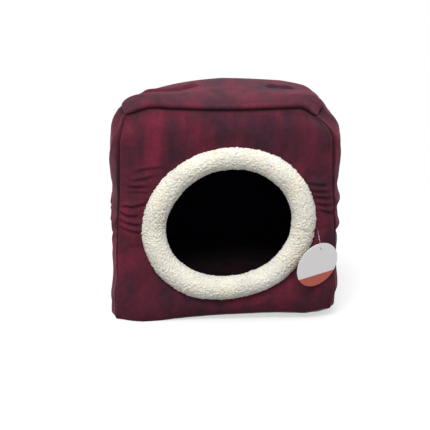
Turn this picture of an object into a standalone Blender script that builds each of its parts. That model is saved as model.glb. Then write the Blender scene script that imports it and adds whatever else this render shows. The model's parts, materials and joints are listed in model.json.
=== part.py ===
"""Soft cube house for a cat.

Six foam-filled pads are sewn together along their edges. The front pad has an oval entrance,
and a foam roll in a fleece sleeve is sewn round it. A loose cushion lies on the floor, and a
card tag hangs from the roll on a nylon fastener.

Metres, +Z up, with the entrance towards -Y and +X to the right of someone who faces it. The
origin is on the floor, in the middle of the space that the house takes up without its tag.
"""

import math

import bmesh
import bpy
from mathutils import Matrix, Vector

# The house between its seams
SEAM_WIDTH = 0.362
SEAM_DEPTH = 0.362
SEAM_HEIGHT = 0.354
TAPER = 0.08  # how much wider the house stands at its base than at its roof, as a share
CORNER_DRAW = 0.009  # how far the three seams of a corner draw it in, along each axis
CORNER_REACH = 0.060  # how far from the corner that shows

# How far each pad swells out of its seams, and how wide its rounded border is
WALL_SWELL = 0.018
WALL_BORDER = 0.055
WALL_CROWN = 0.003
TOP_HEAVINESS = 0.5  # how much more a plain wall swells at its top than half way up, as a share
ROOF_SWELL = 0.022
ROOF_BORDER = 0.055
ROOF_CROWN = 0.008
BASE_SWELL = 0.008
BASE_BORDER = 0.022
CABIN_SWELL = 0.010  # every pad, on its lining's side
BORDER_PER_SWELL = 3.0  # the border on that side, as a multiple of the swell

# Cloth, and the room that is left between pieces
COVER_CLOTH = 0.0012
LINING_CLOTH = 0.0014
CLEARANCE = 0.0003
SEAM_GAP = 0.0004  # from each pad's edge to the seam line

# The entrance and the roll round it
ENTRANCE_WIDTH = 0.214
ENTRANCE_HEIGHT = 0.188
ENTRANCE_TO_RIGHT = 0.005
ENTRANCE_LEVEL = 0.167  # from the floor to its middle
ROLL_RADIUS = 0.022
ROLL_FORWARD = 0.012  # from the front seams to the roll's centre line
FLEECE_CLOTH = 0.004
LIP_THICKNESS = 0.006  # the front pad's pressed edge, which is sewn into the roll
LIP_DEPTH = 0.0035
LIP_RISE = 0.030  # how far from the roll the front pad takes to reach its full thickness
RISE_SHARE = 0.4  # where the pad is narrower: the share of its width for that rise
BORDER_SHARE = 0.5  # and the share for its border

# The loose cushion
CUSHION_TOP_SWELL = 0.026
CUSHION_FOOT_SWELL = 0.016
CUSHION_BORDER = 0.060
CUSHION_CROWN = 0.006
CUSHION_PLAY = 0.008  # from its edge to the linings of the walls
CUSHION_DRAW = 0.006  # how far its sides pull in between its corners

# The tag
TAG_RADIUS = 0.041
TAG_THICKNESS = 0.0006
TAG_HOLE_RADIUS = 0.0010
TAG_HOLE_TO_EDGE = 0.0086  # from the middle of the hole
TAG_TURN = math.radians(30)  # it faces to the right, off the roll
TAG_LEAN = math.radians(15)  # its lower edge leans back to the front pad
FASTENER_RADIUS = 0.0005
FASTENER_LENGTH = 0.0353  # from the roll to the card
FASTENER_TURN = math.radians(3.2)  # to the right of straight forward
FASTENER_DROP = math.radians(37.5)  # below level
FASTENER_PLACE = -0.06  # angle round the entrance, from its right-hand side
FASTENER_SEAT = math.radians(30)  # round the roll's section, forward of the front pad
BUTTON_RADIUS = 0.0015  # at the fastener's end, in front of the card
BUTTON_THICKNESS = 0.0008
BUTTON_STAND_OFF = 0.0018  # from the card's middle

# How finely curved forms are divided
SIDE_STEPS = 10  # along each side of a pad, an even number
ROUND_STEPS = 4 * SIDE_STEPS
SLEEVE_STEPS = 12
FASTENER_STEPS = 10
CARD_STEPS = 48

HOUSE_HALVES = Vector((SEAM_WIDTH, SEAM_DEPTH, SEAM_HEIGHT)) / 2
ROLL_STAND_OUT = ROLL_FORWARD + ROLL_RADIUS
BACK_STAND_OUT = WALL_SWELL + WALL_CROWN
HOUSE_MIDDLE = Vector((0, (ROLL_STAND_OUT - BACK_STAND_OUT) / 2, BASE_SWELL + SEAM_HEIGHT / 2))
CABIN_BORDER = BORDER_PER_SWELL * CABIN_SWELL
WELD = 1e-6

RIGHT, BACK, UP = Vector((1, 0, 0)), Vector((0, 1, 0)), Vector((0, 0, 1))
OUTSIDE, INSIDE = 1, -1

COLOURS = {
    "burgundy_suede": ((0.13, 0.018, 0.033), 0.75),
    "dark_lining": ((0.012, 0.011, 0.018), 0.95),
    "foam": ((0.72, 0.68, 0.52), 0.9),
    "cream_fleece": ((0.80, 0.76, 0.66), 1.0),
    "grey_underside": ((0.27, 0.26, 0.25), 0.85),
    "tag_card": ((0.82, 0.80, 0.82), 0.5),
    "clear_nylon": ((0.75, 0.75, 0.75), 0.3),
}


class Pad:
    """A sewn pad: the rectangle between its seams, and how its cover swells out of it."""

    def __init__(self, name, middle, along, up, halves, swell, border, crown=0.0, heaviness=0.0):
        self.name = name
        self.middle = middle
        self.along = along
        self.up = up
        self.outward = along.cross(up)
        self.halves = halves
        self.swell = swell
        self.border = border
        self.crown = crown
        self.heaviness = heaviness

    def place(self, u, v, height):
        """Where the point (u, v) of the rectangle lies, at a height above it."""
        return settle(self.middle + u * self.along + v * self.up + height * self.outward)


def smooth(share):
    share = min(max(share, 0.0), 1.0)
    return share * share * (3.0 - 2.0 * share)


def quarter_round(distance, width):
    """How full a pad is at a distance from its edge: a quarter of an ellipse over width."""
    return math.sqrt(1.0 - (1.0 - min(distance / width, 1.0)) ** 2)


def easy_ramp(distance, width):
    """The same for linings. It leaves the seam at under 45 degrees, where two linings meet."""
    return 1.0 - (1.0 - min(distance / width, 1.0)) ** 2


def settle(point):
    """Where a point of the plain box lies in the sewn house, which tapers and has drawn-in corners."""
    offset = point - HOUSE_MIDDLE
    nearness = [
        smooth((abs(reach) - half + CORNER_REACH) / CORNER_REACH)
        for reach, half in zip(offset, HOUSE_HALVES)
    ]
    draw = CORNER_DRAW * math.prod(nearness)
    spread = 1.0 - TAPER * offset.z / SEAM_HEIGHT
    drawn = Vector([reach - math.copysign(draw, reach) for reach in offset])
    return HOUSE_MIDDLE + Vector((drawn.x * spread, drawn.y * spread, drawn.z))


def new_materials():
    made = {}
    for name, (colour, roughness) in COLOURS.items():
        material = bpy.data.materials.new(name)
        material.use_nodes = True
        shader = material.node_tree.nodes["Principled BSDF"]
        shader.inputs["Base Color"].default_value = (*colour, 1.0)
        shader.inputs["Roughness"].default_value = roughness
        made[name] = material
    return made


def new_empty(name, location, parent=None):
    empty = bpy.data.objects.new(name, None)
    empty.location = location
    empty.parent = parent
    bpy.context.scene.collection.objects.link(empty)
    return empty


def new_object(name, bm, material, parent=None):
    """Closes a bmesh's seams, turns its faces outwards and makes it an object."""
    bmesh.ops.remove_doubles(bm, verts=bm.verts, dist=WELD)
    bmesh.ops.recalc_face_normals(bm, faces=bm.faces)
    if bm.calc_volume(signed=True) < 0:
        bmesh.ops.reverse_faces(bm, faces=bm.faces)
    mesh = bpy.data.meshes.new(name)
    bm.to_mesh(mesh)
    bm.free()
    mesh.shade_smooth()
    mesh.set_sharp_from_angle(angle=math.radians(50))
    mesh.materials.append(material)
    made = bpy.data.objects.new(name, mesh)
    made.parent = parent
    bpy.context.scene.collection.objects.link(made)
    return made


def add_grid(bm, columns, rows, place, turned):
    """Adds a grid of columns by rows quads, with each of its points at place(column, row).

    The quads are cut into triangles, and turned(column, row) says which take the other diagonal.
    """
    made = bmesh.ops.create_grid(bm, x_segments=columns, y_segments=rows, size=0.5)
    cuts = {"FIXED": [], "ALTERNATE": []}
    for face in {face for vertex in made["verts"] for face in vertex.link_faces}:
        middle = face.calc_center_median()
        column = math.floor((middle.x + 0.5) * columns)
        row = math.floor((middle.y + 0.5) * rows)
        cuts["ALTERNATE" if turned(column, row) else "FIXED"].append(face)
    for vertex in made["verts"]:
        column = round((vertex.co.x + 0.5) * columns)
        row = round((vertex.co.y + 0.5) * rows)
        vertex.co = place(column, row)
    for method, faces in cuts.items():
        bmesh.ops.triangulate(bm, faces=faces, quad_method=method)


def add_square(bm, place):
    """Adds a pad's grid, with its diagonals towards the four corners."""
    half = SIDE_STEPS // 2
    add_grid(
        bm, SIDE_STEPS, SIDE_STEPS, place, lambda column, row: (column < half) != (row < half)
    )


def add_ring(bm, outline, way_back=None):
    """Adds a ring round the entrance, from a closed outline of points at each step.

    A way back is the outline's second half. It runs the other way, and so do its diagonals.
    """
    sections = [outline(step) for step in range(ROUND_STEPS)]
    turning = len(sections[0])
    if way_back is not None:
        sections = [
            section + way_back(step)[::-1] for step, section in enumerate(sections)
        ]
    points = len(sections[0])
    add_grid(
        bm,
        ROUND_STEPS,
        points,
        lambda column, row: sections[column % ROUND_STEPS][row % points],
        lambda column, row: row >= turning,
    )


def side_stations(half):
    """Places along a pad's side, from -1 to 1, close together near the corners."""
    plain = 2 * half - 2 * CORNER_REACH
    near = [0.0, 0.1 * CORNER_REACH, 0.37 * CORNER_REACH, CORNER_REACH]
    middle_steps = SIDE_STEPS - 2 * (len(near) - 1)
    middle = [CORNER_REACH + plain * step / middle_steps for step in range(1, middle_steps)]
    far = [2 * half - distance for distance in reversed(near)]
    return [distance / half - 1.0 for distance in near + middle + far]


def pad_point(pad, s, t, side, inset):
    """A point of a pad's cover or lining, moved in from its outer face by inset."""
    half_u, half_v = (half - SEAM_GAP - inset for half in pad.halves)
    from_u, from_v = half_u * (1.0 - abs(s)), half_v * (1.0 - abs(t))
    if side == OUTSIDE:
        fullness = quarter_round(from_u, pad.border) * quarter_round(from_v, pad.border)
        crown = pad.crown * (1.0 - s * s) * (1.0 - t * t)
        height = (pad.swell * (1.0 + pad.heaviness * t) - inset) * fullness + crown
    else:
        fullness = easy_ramp(from_u, CABIN_BORDER) * easy_ramp(from_v, CABIN_BORDER)
        height = (CABIN_SWELL - inset) * fullness
    return pad.place(s * half_u, t * half_v, side * (height + CLEARANCE / 2))


def add_pad_face(bm, pad, side, inset):
    columns, rows = (side_stations(half) for half in pad.halves)
    add_square(bm, lambda column, row: pad_point(pad, columns[column], rows[row], side, inset))


def close_rim(bm):
    """Joins the two open edges of a piece of cloth, or of a block of foam."""
    rim = [edge for edge in bm.edges if edge.is_boundary]
    bmesh.ops.bridge_loops(bm, edges=rim)


def plain_pad(pad, materials):
    """Cover, foam and lining of a pad with no opening."""
    cloths = (("cover", OUTSIDE, COVER_CLOTH), ("lining", INSIDE, LINING_CLOTH))
    for part, side, thickness in cloths:
        bm = bmesh.new()
        add_pad_face(bm, pad, side, 0.0)
        add_pad_face(bm, pad, side, thickness)
        close_rim(bm)
        new_object(f"{pad.name}_{part}", bm, materials[cloth_finish(pad, part)])
    bm = bmesh.new()
    add_pad_face(bm, pad, OUTSIDE, COVER_CLOTH + CLEARANCE)
    add_pad_face(bm, pad, INSIDE, LINING_CLOTH + CLEARANCE)
    close_rim(bm)
    new_object(f"{pad.name}_foam", bm, materials["foam"])


def cloth_finish(pad, part):
    if part == "lining":
        return "dark_lining"
    return "grey_underside" if pad.name == "base" else "burgundy_suede"


def entrance_point(step, beyond):
    """A point (u, v) on the front pad, at a distance outside the roll's centre line."""
    angle = 2 * math.pi * step / ROUND_STEPS
    half_width = ENTRANCE_WIDTH / 2 + ROLL_RADIUS
    half_height = ENTRANCE_HEIGHT / 2 + ROLL_RADIUS
    outward = Vector((half_height * math.cos(angle), half_width * math.sin(angle))).normalized()
    middle = Vector((ENTRANCE_TO_RIGHT, ENTRANCE_LEVEL - HOUSE_MIDDLE.z))
    line = Vector((half_width * math.cos(angle), half_height * math.sin(angle)))
    return middle + line + beyond * outward


def front_edge_point(pad, step, inset):
    """The point of the front pad's seam that faces the given step round the entrance."""
    half_u, half_v = (half - SEAM_GAP - inset for half in pad.halves)
    columns, rows = (side_stations(half) for half in pad.halves)
    side, place = divmod(step + SIDE_STEPS // 2, SIDE_STEPS)
    edges = (
        (1.0, rows[place]),
        (-columns[place], 1.0),
        (-1.0, -rows[place]),
        (columns[place], -1.0),
    )
    s, t = edges[side % len(edges)]
    return Vector((s * half_u, t * half_v)), Vector((1, 0)) if side % 2 == 0 else Vector((0, 1))


def front_face(pad, step, side, inset):
    """The points of one face of the front pad, from the roll's lip out to the seam."""
    seam, across = front_edge_point(pad, step, inset)
    lip = entrance_point(step, ROLL_RADIUS - LIP_DEPTH)
    width = abs((seam - lip).dot(across))
    border = min(pad.border if side == OUTSIDE else CABIN_BORDER, BORDER_SHARE * width)
    rise = min(LIP_RISE, RISE_SHARE * width)
    swell = (pad.swell if side == OUTSIDE else CABIN_SWELL) - inset
    lip_height = LIP_THICKNESS / 2 + side * ROLL_FORWARD - inset
    rounding = quarter_round if side == OUTSIDE else easy_ramp
    stations = [(0.0, lip_height), (LIP_DEPTH, lip_height)]
    for share in (0.35, 1.0):
        height = lip_height + (swell - lip_height) * quarter_round(share, 1.0)
        stations.append((LIP_DEPTH + share * rise, height))
    for share in (1.0, 0.4, 0.1, 0.0):
        height = swell * rounding(share, 1.0) + CLEARANCE / 2
        stations.append((width - share * border, height))
    return [
        pad.place(*lip.lerp(seam, distance / width), side * height)
        for distance, height in stations
    ]


def front_pad(pad, materials):
    """Cover, foam and lining of the pad with the entrance. Each is a ring round the opening."""
    lining_inset, cover_inset = LINING_CLOTH + CLEARANCE, COVER_CLOTH + CLEARANCE
    layers = (
        ("cover", "burgundy_suede", (OUTSIDE, 0.0), (OUTSIDE, COVER_CLOTH)),
        ("foam", "foam", (OUTSIDE, cover_inset), (INSIDE, lining_inset)),
        ("lining", "dark_lining", (INSIDE, 0.0), (INSIDE, LINING_CLOTH)),
    )
    for part, finish, outer, inner in layers:
        bm = bmesh.new()
        add_ring(
            bm,
            lambda step: front_face(pad, step, *outer),
            lambda step: front_face(pad, step, *inner),
        )
        new_object(f"{pad.name}_{part}", bm, materials[finish])


def roll_point(pad, step, beyond, height):
    return pad.place(*entrance_point(step, beyond), ROLL_FORWARD + height)


def roll_arc(pad, step, radius):
    """Points of a roll's section at one step, open towards the front pad's lip."""
    mouth = math.asin((LIP_THICKNESS / 2 + CLEARANCE) / radius)
    angles = [
        mouth + (2 * math.pi - 2 * mouth) * turn / SLEEVE_STEPS for turn in range(SLEEVE_STEPS + 1)
    ]
    return [
        roll_point(pad, step, radius * math.cos(angle), radius * math.sin(angle))
        for angle in angles
    ]


def entrance_roll(pad, materials):
    """A foam core, and a fleece sleeve that is open where the front pad's lip is sewn in."""
    inside = ROLL_RADIUS - FLEECE_CLOTH
    bm = bmesh.new()
    add_ring(
        bm,
        lambda step: roll_arc(pad, step, ROLL_RADIUS),
        lambda step: roll_arc(pad, step, inside),
    )
    new_object("entrance_sleeve", bm, materials["cream_fleece"])
    bm = bmesh.new()
    add_ring(bm, lambda step: roll_arc(pad, step, inside - CLEARANCE))
    new_object("entrance_core", bm, materials["foam"])


def cushion_point(middle, s, t, side, inset):
    """A point of the cushion's top or foot, moved in from its outer face by inset."""
    reach_in = CABIN_SWELL + CUSHION_PLAY + inset
    half_u, half_v = HOUSE_HALVES.x - reach_in, HOUSE_HALVES.y - reach_in
    from_u, from_v = half_u * (1.0 - abs(s)), half_v * (1.0 - abs(t))
    fullness = quarter_round(from_u, CUSHION_BORDER) * quarter_round(from_v, CUSHION_BORDER)
    swell = CUSHION_TOP_SWELL if side == OUTSIDE else CUSHION_FOOT_SWELL
    crown = CUSHION_CROWN * (1.0 - s * s) * (1.0 - t * t) if side == OUTSIDE else 0.0
    height = (swell - inset) * fullness + crown + CLEARANCE / 2
    u = s * (half_u - CUSHION_DRAW * (1.0 - t * t))
    v = t * (half_v - CUSHION_DRAW * (1.0 - s * s))
    return settle(middle + u * RIGHT + v * BACK + side * height * UP) - middle


def cushion(materials):
    """Top cloth, foot cloth and filling. They move together, up from the base pad."""
    foot = BASE_SWELL + CABIN_SWELL + CLEARANCE / 2 + CLEARANCE
    level = foot + CUSHION_FOOT_SWELL + CLEARANCE / 2
    middle = Vector((HOUSE_MIDDLE.x, HOUSE_MIDDLE.y, level))
    lift = new_empty("cushion_lift", middle)
    columns, rows = (side_stations(half) for half in HOUSE_HALVES.xy)
    layers = (
        ("cushion_top", "burgundy_suede", (OUTSIDE, 0.0), (OUTSIDE, COVER_CLOTH)),
        ("cushion_foot", "burgundy_suede", (INSIDE, 0.0), (INSIDE, COVER_CLOTH)),
        (
            "cushion_filling",
            "foam",
            (OUTSIDE, COVER_CLOTH + CLEARANCE),
            (INSIDE, COVER_CLOTH + CLEARANCE),
        ),
    )
    for name, finish, *faces in layers:
        bm = bmesh.new()
        for side, inset in faces:
            add_square(
                bm,
                lambda column, row: cushion_point(middle, columns[column], rows[row], side, inset),
            )
        close_rim(bm)
        new_object(name, bm, materials[finish], lift)


def tag(pad, materials):
    """A round card on a nylon fastener. The fastener lifts, and the card swings on it."""
    step = FASTENER_PLACE * ROUND_STEPS / (2 * math.pi)
    seat = ROLL_RADIUS + CLEARANCE
    anchor = roll_point(
        pad, step, seat * math.cos(FASTENER_SEAT), seat * math.sin(FASTENER_SEAT)
    )
    aim = Matrix.Rotation(FASTENER_TURN, 3, "Z")
    aim @= Matrix.Rotation(FASTENER_DROP - math.pi / 2, 3, "X")
    facing = Matrix.Rotation(TAG_TURN, 3, "Z") @ Matrix.Rotation(TAG_LEAN, 3, "X")
    lift = new_empty("tag_lift", anchor)
    lift.rotation_euler = aim.to_euler()
    fastener(lift, materials)
    swing = new_empty("tag_swing", Vector((0, 0, -FASTENER_LENGTH)), lift)
    swing.rotation_euler = (aim.inverted() @ facing).to_euler()
    card(swing, materials)


def fastener(lift, materials):
    """A straight nylon filament, which ends in a button that keeps the card on."""
    under_button = -FASTENER_LENGTH - BUTTON_STAND_OFF
    profile = (
        (0, 0),
        (FASTENER_RADIUS, 0),
        (FASTENER_RADIUS, under_button),
        (BUTTON_RADIUS, under_button),
        (BUTTON_RADIUS, under_button - BUTTON_THICKNESS),
        (0, under_button - BUTTON_THICKNESS),
    )
    bm = bmesh.new()
    points = [bm.verts.new((across, 0, along)) for across, along in profile]
    edges = [bm.edges.new(pair) for pair in zip(points, points[1:])]
    bmesh.ops.spin(
        bm,
        geom=points + edges,
        axis=UP,
        angle=2 * math.pi,
        steps=FASTENER_STEPS,
        use_merge=True,
    )
    new_object("tag_fastener", bm, materials["clear_nylon"], lift)


def new_disc(name, radius, thickness, middle, material, parent):
    """A flat round piece that faces along Y."""
    bm = bmesh.new()
    bmesh.ops.create_cone(
        bm,
        cap_ends=True,
        segments=CARD_STEPS,
        radius1=radius,
        radius2=radius,
        depth=thickness,
        matrix=Matrix.Translation(middle) @ Matrix.Rotation(math.pi / 2, 4, "X"),
    )
    return new_object(name, bm, material, parent)


def card(swing, materials):
    """The card, with the fastener through the middle of its hole."""
    finish = materials["tag_card"]
    hole = Vector()
    middle = Vector((0, 0, TAG_HOLE_TO_EDGE - TAG_RADIUS))
    made = new_disc("tag_card", TAG_RADIUS, TAG_THICKNESS, middle, finish, swing)
    cutter = new_disc("tag_hole", TAG_HOLE_RADIUS, 3 * TAG_THICKNESS, hole, finish, swing)
    cutter.hide_render = True
    cutter.display_type = "WIRE"
    cut = made.modifiers.new("hole", "BOOLEAN")
    cut.object = cutter
    cut.operation = "DIFFERENCE"


def pads():
    """The six pads of the house, each with its sides along the box's edges."""
    half_x, half_y, half_z = HOUSE_HALVES
    wall = (WALL_SWELL, WALL_BORDER, WALL_CROWN, TOP_HEAVINESS)
    roof = (ROOF_SWELL, ROOF_BORDER, ROOF_CROWN)
    base = (BASE_SWELL - CLEARANCE / 2, BASE_BORDER)
    places = (
        ("front", -BACK * half_y, RIGHT, UP, (half_x, half_z), (WALL_SWELL, WALL_BORDER)),
        ("back", BACK * half_y, -RIGHT, UP, (half_x, half_z), wall),
        ("left", -RIGHT * half_x, -BACK, UP, (half_y, half_z), wall),
        ("right", RIGHT * half_x, BACK, UP, (half_y, half_z), wall),
        ("roof", UP * half_z, RIGHT, BACK, (half_x, half_y), roof),
        ("base", -UP * half_z, RIGHT, -BACK, (half_x, half_y), base),
    )
    return [
        Pad(name, HOUSE_MIDDLE + offset, along, up, halves, *shape)
        for name, offset, along, up, halves, shape in places
    ]


def main():
    for old in list(bpy.data.objects):
        bpy.data.objects.remove(old)
    materials = new_materials()
    front, *others = pads()
    front_pad(front, materials)
    for pad in others:
        plain_pad(pad, materials)
    entrance_roll(front, materials)
    cushion(materials)
    tag(front, materials)


main()
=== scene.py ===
"""How the cat's cube house looks.

Suede-look pads are sewn together along their edges, with a fleece roll round the entrance and
dark plush inside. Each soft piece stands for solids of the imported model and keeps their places.
Metres, +Z up, with the entrance towards -Y and +X to the right of someone who faces it.
"""

import json
import math
from functools import partial

import bmesh
import bpy
import numpy as np
from mathutils import Matrix, Vector, noise


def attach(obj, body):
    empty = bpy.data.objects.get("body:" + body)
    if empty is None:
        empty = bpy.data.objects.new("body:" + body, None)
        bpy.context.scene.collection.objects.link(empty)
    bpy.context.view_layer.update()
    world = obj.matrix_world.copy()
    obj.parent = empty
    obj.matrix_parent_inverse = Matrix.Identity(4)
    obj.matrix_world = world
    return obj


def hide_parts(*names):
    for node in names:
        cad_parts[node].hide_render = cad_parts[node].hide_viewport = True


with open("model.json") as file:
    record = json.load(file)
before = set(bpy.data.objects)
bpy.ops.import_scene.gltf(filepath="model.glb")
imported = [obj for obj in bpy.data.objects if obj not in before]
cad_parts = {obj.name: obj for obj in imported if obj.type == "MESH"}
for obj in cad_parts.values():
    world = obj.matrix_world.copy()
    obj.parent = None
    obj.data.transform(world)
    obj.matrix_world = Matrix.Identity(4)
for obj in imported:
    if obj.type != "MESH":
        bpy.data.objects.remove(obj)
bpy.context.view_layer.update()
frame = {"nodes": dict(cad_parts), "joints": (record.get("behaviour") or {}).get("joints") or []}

# The box between the house's seams: half of each side, its middle, and how sewing changes it
HOUSE_HALVES = np.array((0.181, 0.181, 0.177))
HOUSE_MIDDLE = np.array((0.0, 0.0065, 0.185))
TAPER = 0.08  # how much narrower the top is than the bottom
CORNER_DRAW = 0.009
CORNER_REACH = 0.060
FLOOR_EASE = 0.001  # how softly the lowest points come to rest on the floor

# How far the covers and linings swell out of the seams
WALL_SWELL = 0.018
WALL_TOP_GAIN = 0.5  # how much more at a wall's top, and less at its bottom
WALL_CROWN = 0.003
BASE_SWELL = 0.008
LINING_SWELL = 0.010
LINING_BORDER = 0.030
LINING_UNEVENNESS = 0.0006
LINING_EVEN_EDGE = 0.020

# The front swells less beside the roll
ROLL_DIP = 0.004
ROLL_DIP_START = 0.010  # from the roll's centre line
ROLL_DIP_WIDTH = 0.030

# The roof swells to a dome behind its middle, and sags inside its seams
ROOF_SWELL = 0.020
ROOF_SAG = 0.012
ROOF_DOME = 0.014
ROOF_DOME_MIDDLE = (0.010, 0.030)
ROOF_DOME_REACH = (0.120, 0.100)

# The hem that a cover or lining turns in behind its seams
HEM_LEVEL = 0.0005
HEM_SHARE = 0.9

# How wide the covers' rounded borders are, at their two sides, top and bottom
BORDERS = {
    "front": (0.034, 0.042, 0.034),
    "left": (0.050, 0.095, 0.036),
    "right": (0.050, 0.095, 0.036),
    "back": (0.050, 0.095, 0.036),
    "roof": (0.030, 0.080, 0.034),
    "base": (0.022, 0.022, 0.022),
    "cushion": (0.060, 0.060, 0.060),
}

# How much wider the roof's side borders get towards its rear, on the left and on the right
ROOF_REAR_BORDERS = (0.060, 0.050)
ROOF_REAR_START = -0.130
ROOF_REAR_REACH = 0.120

# How far the covers' swelling hangs out over the same edges, as a share of it
HANGS = {
    "front": (0.9, 0.0, 0.3),
    "left": (0.9, 0.0, 0.3),
    "right": (0.9, 0.0, 0.3),
    "back": (0.9, 0.0, 0.3),
    "roof": (0.9, 0.8, 1.7),
}

# The loose cushion
CUSHION_TOP_SWELL = 0.026
CUSHION_FOOT_SWELL = 0.01568  # where its foot is flat
CUSHION_CROWN = 0.006
CUSHION_DRAW = 0.006  # how far its sides draw in between its corners

# The fleece roll: an ellipse that stands a little higher on its right
ROLL_MIDDLE = (0.0038, 0.1700)  # x and z
ROLL_HALF_WIDTH = 0.1284
ROLL_HALF_HEIGHT = 0.1104
ROLL_TILT = math.radians(17)
ROLL_RADIUS = 0.0195
ROLL_FORWARD = 0.012  # in front of the front pad's seams
ROLL_SEAM = math.radians(24)  # below its right-hand end
ROLL_SEAM_WIDTH = 0.0030
ROLL_SEAM_DEPTH = 0.0014
LIP_PLACE = 0.008  # of the front pad's lip, out from the roll's centre line

# The fleece's curls, with smaller ones among them, and its lumps and loose fibres
NUB_WIDTH = 0.0036
NUB_HEIGHT = 0.0040
SMALL_NUB_SHARE = 0.52
LUMP_HEIGHT = 0.0013
FUZZ_HEIGHT = 0.0014
FLEECE_SEED = 1

# The end of the tag's filament, from where it hinges to inside the front pad
FILAMENT_RADIUS = 0.0005
FILAMENT_LENGTH = 0.0140
FILAMENT_CLEARANCE = 0.0006  # to the rest of it, which turns about the hinge
FILAMENT_BEND = 0.020  # radius that it bends to
FILAMENT_SIDES = 12
FILAMENT_STEPS = 12

# How finely the pieces are divided
SIDE_STEPS = 150
RAY_STEPS = 64
LINING_STEPS = 48
SHEET_STEPS = 72
ROLL_STEPS = 690
SECTION_STEPS = 140
CUSHION_STEPS = 96
EDGE_CLOSENESS = 0.85  # how much closer together points lie at a side's ends
EDGE_SHARE = 0.05  # of the side that this fades over
WELD = 1e-6
TINY = 1e-6  # keeps a divisor from being zero

# Wrinkles, folds and gathers in the cloth
WRINKLE_LIMIT = 0.0040
WRINKLE_FADE = 0.012  # towards the seams
FOLD_GAIN = 1.8  # on the heights in FOLDS
FOLD_OVERRUN = 0.010  # past its first and last points
FOLD_FADE = 0.016  # towards its ends
FOLD_SEAM_FADE = 0.005  # towards the seams
VALLEY_PLACE = 1.7  # below the ridge, in widths of the fold
VALLEY_DEPTH = 1.1  # for the ridge's height
GATHER_HEIGHT = 0.00035
GATHER_PACE = 520.0  # radians a metre along the seam
GATHER_START = 0.004
GATHER_REACH = 0.010

# How the covers' cloth behaves while it swells
SHEET_FRAMES = 25
SHEET_HELD = 0.006  # out to here from the roll's centre line
SHEET_CLOTH = {
    "quality": 5,
    "mass": 0.3,
    "tension_stiffness": 15.0,
    "compression_stiffness": 15.0,
    "shear_stiffness": 5.0,
    "bending_stiffness": 0.5,
    "tension_damping": 5.0,
    "compression_damping": 5.0,
    "shear_damping": 5.0,
    "use_pressure": True,
    "uniform_pressure_force": 4.0,
    "vertex_group_mass": "sewn",
    "shrink_min": -0.025,
}
BROAD_ROUNDS = 32  # of smoothing, which leave only the broad swelling

# The camera, which stands where the photograph was taken
CAMERA_LENS = 81.3  # mm
CAMERA_PLACE = (-0.052, -1.788, 0.546)
CAMERA_TURN = (math.radians(77.3), 0.0, math.radians(-1.15))

# The light from all round, and the floor, as it lights the house and as it is seen
AMBIENT = (0.56, 0.56, 0.57, 1.0)
WHITE = (1.0, 1.0, 1.0, 1.0)
FLOOR_HALF = 6.0
FLOOR_SHADE = (0.30, 0.30, 0.30, 1.0)
SEEN_FLOOR_SHADE = (0.44, 0.44, 0.44, 1.0)
FLOOR_GLOW = 0.60
FADE_START = 0.35  # how far from the house the floor starts to fade to white
FADE_END = 1.30

# The line between the card's two colours: a point of it, and the way up from it
CARD_LINE_POINT = Vector((0.1200, -0.2306, 0.0830))
CARD_LINE_UP = Vector((0.0221, -0.2838, 0.9586))

# Patches of the mottled cloth: middle, reach across, and how much redder they are. They are
# longer up the walls and back over the roof than they are wide.
PATCH_SHAPE = (1.0, 0.5, 0.45)
PATCHES = (
    ((-0.118, -0.193, 0.305), 0.026, 0.085),
    ((-0.043, -0.193, 0.345), 0.028, 0.075),
    ((0.038, -0.193, 0.350), 0.024, 0.050),
    ((0.096, -0.193, 0.305), 0.024, 0.035),
    ((0.142, -0.193, 0.330), 0.026, 0.045),
    ((-0.154, -0.193, 0.295), 0.034, -0.075),
    ((-0.083, -0.193, 0.305), 0.026, -0.035),
    ((-0.003, -0.193, 0.330), 0.032, -0.060),
    ((0.073, -0.193, 0.330), 0.022, -0.030),
    ((0.150, -0.193, 0.230), 0.036, -0.035),
    ((-0.158, -0.193, 0.170), 0.030, 0.070),
    ((-0.178, -0.193, 0.200), 0.022, 0.080),
    ((-0.085, -0.080, 0.378), 0.034, -0.040),
    ((-0.039, -0.090, 0.382), 0.026, 0.060),
    ((0.000, -0.090, 0.382), 0.020, -0.030),
    ((0.032, -0.060, 0.385), 0.026, 0.060),
    ((0.080, -0.060, 0.380), 0.036, -0.060),
    ((-0.135, -0.060, 0.375), 0.030, 0.050),
    # The last, broad patch makes the whole roof darker and less red: painted shade that tones down
    # the light the roof takes from the lamps
    ((0.000, 0.060, 0.395), 0.150, -0.045),
)

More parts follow.
